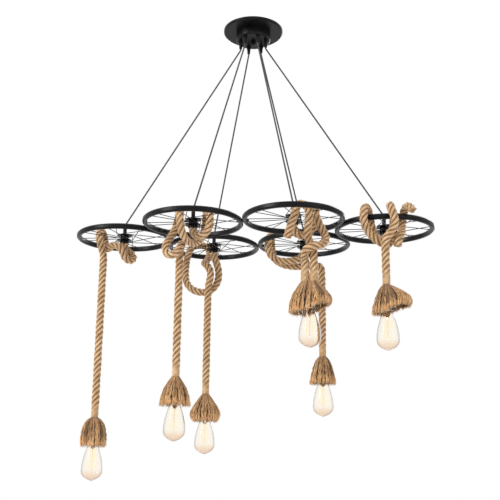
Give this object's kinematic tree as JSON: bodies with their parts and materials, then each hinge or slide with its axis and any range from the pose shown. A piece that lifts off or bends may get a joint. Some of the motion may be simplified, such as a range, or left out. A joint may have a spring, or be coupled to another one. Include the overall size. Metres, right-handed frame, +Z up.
{
  "type": "chandelier",
  "caption": "Ceiling chandelier: spoked wheels joined in a level cluster, hung on cables from a round canopy, each with a knotted rope, a tassel and a drop-shaped bulb.",
  "frame": {"origin": "centre of the ceiling bracket's screw holes, on the ceiling face", "axes": "+Z up into the ceiling, X along the row of wheels, -Y towards the room as pictured"},
  "size_m": [1.1212, 0.6006, 1.45],
  "materials": {
    "black_steel": "satin black powder coat",
    "zinc_steel": "zinc plated",
    "dark_steel": "blackened",
    "black_plastic": "fine grain",
    "holder_plastic": "moulded",
    "white_plastic": "moulded",
    "cable_sheath": "grey-black textile sheath",
    "rope": "three-strand jute rope",
    "tassel": "frayed jute yarn",
    "brass": "polished",
    "clear_glass": "clear, lit from inside"
  },
  "bodies": {
    "frame": {"ceiling_bracket": "zinc_steel", "centre_stud": "zinc_steel", "centre_nut": "black_steel", "canopy_cover": "black_steel", "terminal_block": "white_plastic", "cord_grips": "black_plastic", "grip_locknuts": "zinc_steel", "suspension_cable_1": "cable_sheath", "suspension_cable_2": "cable_sheath", "suspension_cable_3": "cable_sheath", "suspension_cable_4": "cable_sheath", "suspension_cable_5": "cable_sheath", "suspension_cable_6": "cable_sheath", "rim_1": "black_steel", "rim_2": "black_steel", "rim_3": "black_steel", "rim_4": "black_steel", "rim_5": "black_steel", "rim_6": "black_steel", "hubs": "black_steel", "spokes": "black_steel", "rim_bolts": "dark_steel", "rim_nuts": "dark_steel", "rope_knot_1": "rope", "rope_knot_2": "rope", "rope_knot_3": "rope", "rope_knot_4": "rope", "rope_knot_5": "rope", "rope_knot_6": "rope"},
    "pendant_1": {"rope_drop_1": "rope", "tassel_1": "tassel", "lamp_holder_1": "holder_plastic"},
    "bulb_1": {"bulb_cap_1": "brass", "bulb_glass_1": "clear_glass"},
    "pendant_2": {"rope_drop_2": "rope", "tassel_2": "tassel", "lamp_holder_2": "holder_plastic"},
    "bulb_2": {"bulb_cap_2": "brass", "bulb_glass_2": "clear_glass"},
    "pendant_3": {"rope_drop_3": "rope", "tassel_3": "tassel", "lamp_holder_3": "holder_plastic"},
    "bulb_3": {"bulb_cap_3": "brass", "bulb_glass_3": "clear_glass"},
    "pendant_4": {"rope_drop_4": "rope", "tassel_4": "tassel", "lamp_holder_4": "holder_plastic"},
    "bulb_4": {"bulb_cap_4": "brass", "bulb_glass_4": "clear_glass"},
    "pendant_5": {"rope_drop_5": "rope", "tassel_5": "tassel", "lamp_holder_5": "holder_plastic"},
    "bulb_5": {"bulb_cap_5": "brass", "bulb_glass_5": "clear_glass"},
    "pendant_6": {"rope_drop_6": "rope", "tassel_6": "tassel", "lamp_holder_6": "holder_plastic"},
    "bulb_6": {"bulb_cap_6": "brass", "bulb_glass_6": "clear_glass"}
  },
  "joints": [
    {"name": "pendant_1_swing", "type": "hinge", "parent": "frame", "child": "pendant_1", "pos_m": [-0.47263, -0.014, -0.7923], "axis": [0, 1, 0], "range_deg": [-10, 10]},
    {"name": "bulb_1_out", "type": "slide", "parent": "pendant_1", "child": "bulb_1", "axis": [0, 0, -1], "range_m": [0, 0.03]},
    {"name": "pendant_2_swing", "type": "hinge", "parent": "frame", "child": "pendant_2", "pos_m": [-0.1983, -0.1103, -0.8283], "axis": [0, 1, 0], "range_deg": [-10, 10]},
    {"name": "bulb_2_out", "type": "slide", "parent": "pendant_2", "child": "bulb_2", "axis": [0, 0, -1], "range_m": [0, 0.03]},
    {"name": "pendant_3_swing", "type": "hinge", "parent": "frame", "child": "pendant_3", "pos_m": [-0.1623, 0.1303, -0.8843], "axis": [0, 1, 0], "range_deg": [-10, 10]},
    {"name": "bulb_3_out", "type": "slide", "parent": "pendant_3", "child": "bulb_3", "axis": [0, 0, -1], "range_m": [0, 0.03]},
    {"name": "pendant_4_swing", "type": "hinge", "parent": "frame", "child": "pendant_4", "pos_m": [0.1988, -0.1803, -0.8653], "axis": [0, 1, 0], "range_deg": [-10, 10]},
    {"name": "bulb_4_out", "type": "slide", "parent": "pendant_4", "child": "bulb_4", "axis": [0, 0, -1], "range_m": [0, 0.03]},
    {"name": "pendant_5_swing", "type": "hinge", "parent": "frame", "child": "pendant_5", "pos_m": [0.2083, 0.1423, -0.8283], "axis": [0, 1, 0], "range_deg": [-10, 10]},
    {"name": "bulb_5_out", "type": "slide", "parent": "pendant_5", "child": "bulb_5", "axis": [0, 0, -1], "range_m": [0, 0.03]},
    {"name": "pendant_6_swing", "type": "hinge", "parent": "frame", "child": "pendant_6", "pos_m": [0.41263, -0.16, -0.8323], "axis": [0, 1, 0], "range_deg": [-10, 10]},
    {"name": "bulb_6_out", "type": "slide", "parent": "pendant_6", "child": "bulb_6", "axis": [0, 0, -1], "range_m": [0, 0.03]}
  ]
}
